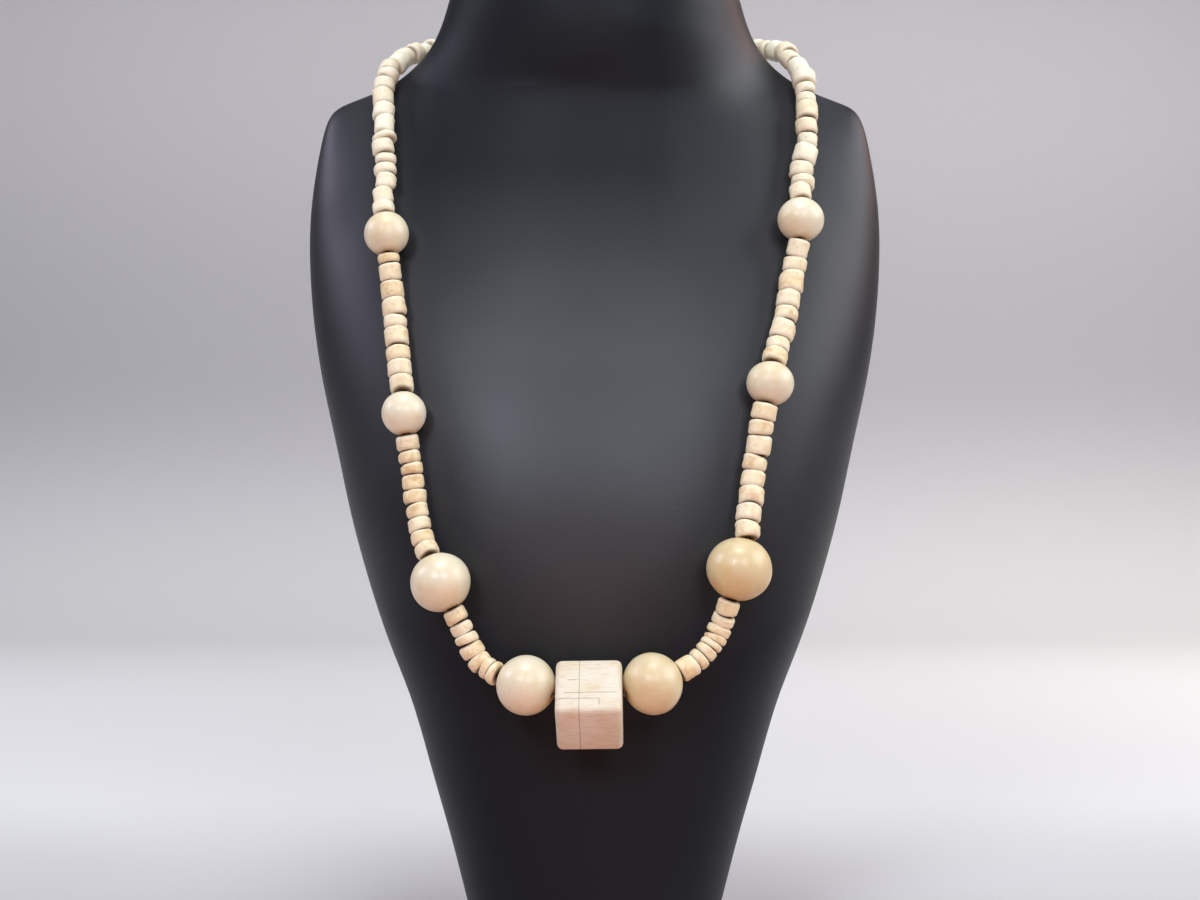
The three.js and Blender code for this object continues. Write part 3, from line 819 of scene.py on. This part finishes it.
# How far each ball has aged: 0 is new ivory, 1 is tan.
ballTones = {
    "ball_low_left": 0.35,
    "ball_large_left": 0.3,
    "ball_middle_left": 0.15,
    "ball_upper_left": 0.3,
    "ball_upper_right": 0.25,
    "ball_middle_right": 0.25,
    "ball_large_right": 0.95,
    "ball_low_right": 0.75,
}
for number, (node, tone) in enumerate(ballTones.items()):
    bead = next(bead for bead in beads if bead["node"] == node)
    length = (bead["end"] - bead["start"]).length
    master = modelBall(length, bead["width"], number)
    piece = copied(master, beadFrame(bead["start"], bead["end"]))
    bpy.data.meshes.remove(master.data)
    renamed(piece, "turned_" + node)
    setAttribute(piece, "beadTone", lambda co: tone)
    finishPiece(piece, boneBall, [node])
print("balls turned:", len(ballTones))


# The pieced cube.
cube = {
    "side": 20 * mm,
    "edgeRound": 1.9 * mm,
    "drop": 2.6 * mm,  # how far its middle hangs below the thread
    "bore": 1.9 * mm,
    "boreSides": 16,
    "seamWidth": 0.24 * mm,
    "seamDepth": 0.08 * mm,
    "ringSeam": -2.8 * mm,  # runs round the cube, square to the thread
}
# Seams in the upper face: across is 0 for a seam along the thread and 1 for one across it.
faceSeams = (
    {"at": -3.0 * mm, "from": -7.5 * mm, "to": 8.5 * mm, "across": 0},
    {"at": -5.2 * mm, "from": -10 * mm, "to": 3.2 * mm, "across": 0},
    {"at": 1.8 * mm, "from": -6.4 * mm, "to": -3.4 * mm, "across": 0},
    {"at": 3.2 * mm, "from": -7.6 * mm, "to": -5.4 * mm, "across": 1},
)


def sinkStrip(obj, axis, at, low, high, region):
    # cuts a narrow strip out of the chosen faces and sinks it
    half = cube["seamWidth"] / 2
    other = 1 - axis

    def inStrip(face):
        return region(face) and abs(face.calc_center_median()[axis] - at) < half

    def cut(wanted, along, place):
        choose(obj, "FACE", wanted)
        point = [0, 0, 0]
        normal = [0, 0, 0]
        point[along] = place
        normal[along] = 1
        bpy.ops.mesh.bisect(plane_co=point, plane_no=normal)

    cut(region, axis, at - half)
    cut(region, axis, at + half)
    for end in (low, high):
        if abs(end) < cube["side"] / 2:
            cut(inStrip, other, end)
    choose(obj, "FACE", lambda face: inStrip(face) and low < face.calc_center_median()[other] < high)
    bpy.ops.mesh.extrude_region_shrink_fatten(TRANSFORM_OT_shrink_fatten={"value": -cube["seamDepth"]})
    mesh = bmesh.from_edit_mesh(obj.data)
    glue = mesh.verts.layers.float["glueSeam"]
    for vertex in mesh.verts:
        if vertex.select:
            vertex[glue] = 1
    bmesh.update_edit_mesh(obj.data)


def drillCube(obj):
    # the hole for the thread lies above the middle of the cube as it hangs
    aside = cube["drop"] * math.sqrt(0.5)
    deselectAll()
    bpy.ops.mesh.primitive_cylinder_add(
        vertices=cube["boreSides"], radius=cube["bore"] / 2, depth=2 * cube["side"],
        location=(0, aside, aside), rotation=(0, math.pi / 2, 0))
    drill = bpy.context.object
    addModifier(obj, "BOOLEAN", object=drill, operation="DIFFERENCE", solver="EXACT")
    bpy.data.meshes.remove(drill.data)


def modelCube():
    deselectAll()
    bpy.ops.mesh.primitive_cube_add(size=cube["side"])
    obj = bpy.context.object
    obj.data.attributes.new("glueSeam", "FLOAT", "POINT")
    startEdit(obj)
    bpy.ops.mesh.select_mode(type="EDGE")
    bpy.ops.mesh.select_all(action="SELECT")
    bpy.ops.mesh.bevel(offset=cube["edgeRound"], segments=4, profile=0.5)
    sinkStrip(obj, 0, cube["ringSeam"], -cube["side"], cube["side"], lambda face: True)
    half = cube["side"] / 2

    def onTop(face):
        return face.calc_center_median().z > half - cube["edgeRound"] * 0.9

    for seam in faceSeams:
        axis = 1 - seam["across"]
        sinkStrip(obj, axis, seam["at"], seam["from"], seam["to"], onTop)
    bpy.ops.mesh.select_all(action="SELECT")
    bpy.ops.mesh.normals_make_consistent(inside=False)
    endEdit()
    drillCube(obj)
    return obj


master = modelCube()
bead = next(bead for bead in beads if bead["node"] == "cube")
axis = (bead["start"] - bead["end"]).normalized()  # from the right hand side back to the left
if axis.x < 0:
    axis = -axis
up = (Vector((0, 0, 1)) - axis * axis.z).normalized()
back = up.cross(axis)
middle = (bead["start"] + bead["end"]) / 2 - up * cube["drop"]
turn = Matrix((axis, back, up)).transposed().to_4x4()
cubePiece = copied(master, Matrix.Translation(middle) @ turn @ Matrix.Rotation(math.pi / 4, 4, "X"))
bpy.data.meshes.remove(master.data)
renamed(cubePiece, "pieced_cube")
smoothed(cubePiece, 40)
finishPiece(cubePiece, boneCube, ["cube"])
print("cube pieced")


# The neck bust.
bustForm = {
    "skinLevels": 2,
    # the neck flare is smoothed within these half widths, above these heights
    "smoothing": ((88 * mm, 228 * mm), (84 * mm, 238 * mm), (79 * mm, 248 * mm), (74 * mm, 256 * mm)),
    "smoothRounds": 3,
    "neckMiddle": -16 * mm,  # the painted shade on the neck lies a little to one side
    "neckHalfWidth": 70 * mm,
    "neckFade": 34 * mm,
    "neckFrom": 198 * mm,
    "neckFull": 258 * mm,
    "lowFrom": 122 * mm,
    "lowFull": 72 * mm,
    "lowSpread": 0.6,  # how much higher the painted shade low down reaches at the sides
}


def shadeDullingAt(co):
    # painted shade: 1 on the neck, a little to one side, and low down, reaching higher at the sides; the
    # gleam is cut there so that these parts read darker
    high = (co.z - bustForm["neckFrom"]) / (bustForm["neckFull"] - bustForm["neckFrom"])
    inside = (bustForm["neckHalfWidth"] - abs(co.x - bustForm["neckMiddle"])) / bustForm["neckFade"]
    top = bustForm["lowFrom"] + bustForm["lowSpread"] * abs(co.x)
    low = (top - co.z) / (bustForm["lowFrom"] - bustForm["lowFull"])
    return max(clamped(high) * clamped(inside), clamped(low))


def modelBust():
    obj = mergedCopy("bust")
    startEdit(obj)
    bpy.ops.mesh.select_all(action="SELECT")
    bpy.ops.mesh.tris_convert_to_quads(face_threshold=math.radians(60), shape_threshold=math.radians(60))
    for reach, above in bustForm["smoothing"]:
        choose(obj, "VERT", lambda vertex: abs(vertex.co.x) < reach and vertex.co.z > above)
        bpy.ops.mesh.vertices_smooth(factor=0.5, repeat=bustForm["smoothRounds"])
    endEdit()
    addModifier(obj, "SUBSURF", levels=bustForm["skinLevels"], render_levels=bustForm["skinLevels"])
    # painted shade on the neck and low down, as a cut in the gleam
    setAttribute(obj, "shadeDulling", shadeDullingAt)
    smoothed(obj, 60)
    return renamed(obj, "covered_bust")


bust = modelBust()
finishPiece(bust, bustSkin, ["bust"])
print("bust covered:", len(bust.data.polygons), "faces")

# the dark brown thread stands in for the shade between the beads
for slot in bpy.data.objects["thread"].material_slots:
    slot.material = shadedThread


# Floor, backdrop, light and camera.
stage = {
    # colours from front to back, each reached at this distance behind the bust
    "paper": ((-0.16, "#9A857C"), (0.1, "#C9C8C6"), (0.3, "#DCDCD9")),
    "rise": ((0.02, "#FFFFFF"), (0.25, "#D8D5D9"), (0.65, "#F0EEF0")),  # painted light and shade, multiplied in by height: white at the floor line, darker at mid height, paler above
    "roughness": 0.8,
    "near": -1.2,
    "far": 1.55,
    "halfWidth": 3,
    "height": 2.4,
    "sweep": 0.5,
}


def makeStage():
    # paper that grows paler from warm grey at the very front to pale grey behind, with painted light and
    # shade by height
    near, far = stage["near"], stage["far"]
    material, shader, place = newMaterial("matt_paper_painted_light_and_shade")
    split = addNode(material, "ShaderNodeSeparateXYZ", inputs={"Vector": place})
    along = addNode(material, "ShaderNodeMapRange", inputs={
        "Value": split.outputs["Y"], "From Min": near, "From Max": far})
    depth = addNode(material, "ShaderNodeValToRGB", inputs={"Fac": along.outputs["Result"]}, stops=[
        ((y - near) / (far - near), colour) for y, colour in stage["paper"]])
    # painted light and shade: the sweep is white at the floor line, darker at mid height and paler
    # higher up
    rise = addNode(material, "ShaderNodeValToRGB", inputs={"Fac": split.outputs["Z"]},
                   stops=stage["rise"])
    graded = addNode(material, "ShaderNodeMix", multiplyMix, {
        mixAmount: 1, mixFirst: depth.outputs["Color"], mixSecond: rise.outputs["Color"]})
    feed(shader, {"Base Color": graded.outputs[mixResult], "Roughness": stage["roughness"]})
    deselectAll()
    bpy.ops.mesh.primitive_plane_add(size=1)
    paper = renamed(bpy.context.object, "paper_sweep")
    size = Matrix.Diagonal((2 * stage["halfWidth"], far - near, 1, 1))
    paper.data.transform(Matrix.Translation((0, (near + far) / 2, 0)) @ size)
    startEdit(paper)
    close = 0.01
    choose(paper, "EDGE", lambda edge: all(vertex.co.y > far - close for vertex in edge.verts))
    bpy.ops.mesh.extrude_region_move(TRANSFORM_OT_translate={"value": (0, 0, stage["height"])})
    choose(paper, "EDGE", lambda edge: all(
        vertex.co.y > far - close and vertex.co.z < close for vertex in edge.verts))
    bpy.ops.mesh.bevel(offset=stage["sweep"], segments=12)
    endEdit()
    smoothed(paper, 80)
    paper.data.materials.append(material)


makeStage()

# Soft boxes; bearing is in degrees from the front to the right, height in degrees above the aim.
softBoxes = {
    "side_right": {"bearing": 80, "height": 28, "size": 1, "power": 11, "colour": "#F5F8FF"},
    "side_left": {"bearing": -88, "height": 30, "size": 0.6, "power": 7, "colour": "#EAE6FF"},
    "top_front": {"bearing": 0, "height": 74, "size": 0.6, "power": 9.2, "colour": "#F4FAFF"},
    "top_back": {"bearing": 180, "height": 72, "size": 0.9, "power": 5, "colour": "#F4F4FF"},
    "front_left": {"bearing": -22, "height": 27, "size": 0.4, "power": 6.8, "colour": "#EBF0FF"},
    "front_right": {"bearing": 16, "height": 26, "size": 0.6, "power": 6.8, "colour": "#EDF2FF"},
    "rim_right": {"bearing": 116, "height": 26, "size": 0.5, "power": 2.4, "colour": "#FFD0C4"},
    "low_front": {"bearing": 0, "height": -10, "size": 0.4, "power": 1.3, "colour": "#FFBC9C"},
}
boxAim = Vector((0, 0, 0.18))
boxDistance = 1.45
lowestBox = 0.02


def addLamp(name, at, aim, size, power, colour):
    data = bpy.data.lights.new(name, "AREA")
    data.shape = "DISK"
    data.size = size
    data.energy = power
    data.color = linear(colour)[:3]
    lamp = bpy.data.objects.new(name, data)
    lamp.location = at
    lamp.rotation_euler = (Vector(aim) - Vector(at)).to_track_quat("-Z", "Y").to_euler()
    lamp.visible_camera = False
    bpy.context.scene.collection.objects.link(lamp)


for name, light in softBoxes.items():
    bearing = math.radians(light["bearing"])
    height = math.radians(light["height"])
    reach = boxDistance * math.cos(height)
    rise = boxDistance * math.sin(height)
    at = boxAim + Vector((reach * math.sin(bearing), -reach * math.cos(bearing), rise))
    at.z = max(at.z, lowestBox)
    addLamp(name, at, boxAim, light["size"], light["power"], light["colour"])

# Lamps near the floor: a rose glow in front, as a warm table top would give, and two that light
# only the paper behind the bust.
floorLamps = {
    "floor_glow": {"at": (0, -0.32, 0.004), "aim": (0, -0.32, 1), "power": 0.25, "colour": "#FF8868"},
    "floor_right": {"at": (0.55, 0.75, 0.6), "aim": (0.55, 1, 0), "power": 2.2, "colour": "#FFFAF6"},
    "floor_left": {"at": (-0.5, 0.75, 0.6), "aim": (-0.5, 1, 0), "power": 0.8, "colour": "#F6F8FF"},
}
floorLampSize = 0.5
for name, light in floorLamps.items():
    addLamp(name, light["at"], light["aim"], floorLampSize, light["power"], light["colour"])

air = {"colour": "#E4E3EA", "strength": 0.04}
world = bpy.data.worlds.new("studio")
world.use_nodes = True
feed(world.node_tree.nodes["Background"], {"Color": linear(air["colour"]), "Strength": air["strength"]})
bpy.context.scene.world = world

camera = {"at": (1.8 * mm, -657 * mm, 165 * mm), "lens": 59.4, "sensor": 36, "nearest": 0.01}
cameraData = bpy.data.cameras.new("camera")
cameraData.lens = camera["lens"]
cameraData.sensor_width = camera["sensor"]
cameraData.clip_start = camera["nearest"]
view = bpy.data.objects.new("camera", cameraData)
view.location = camera["at"]
view.rotation_euler = (math.pi / 2, 0, 0)
bpy.context.scene.collection.objects.link(view)
bpy.context.scene.camera = view
bpy.context.scene.view_settings.view_transform = "Standard"
print("stage, lights and camera set")
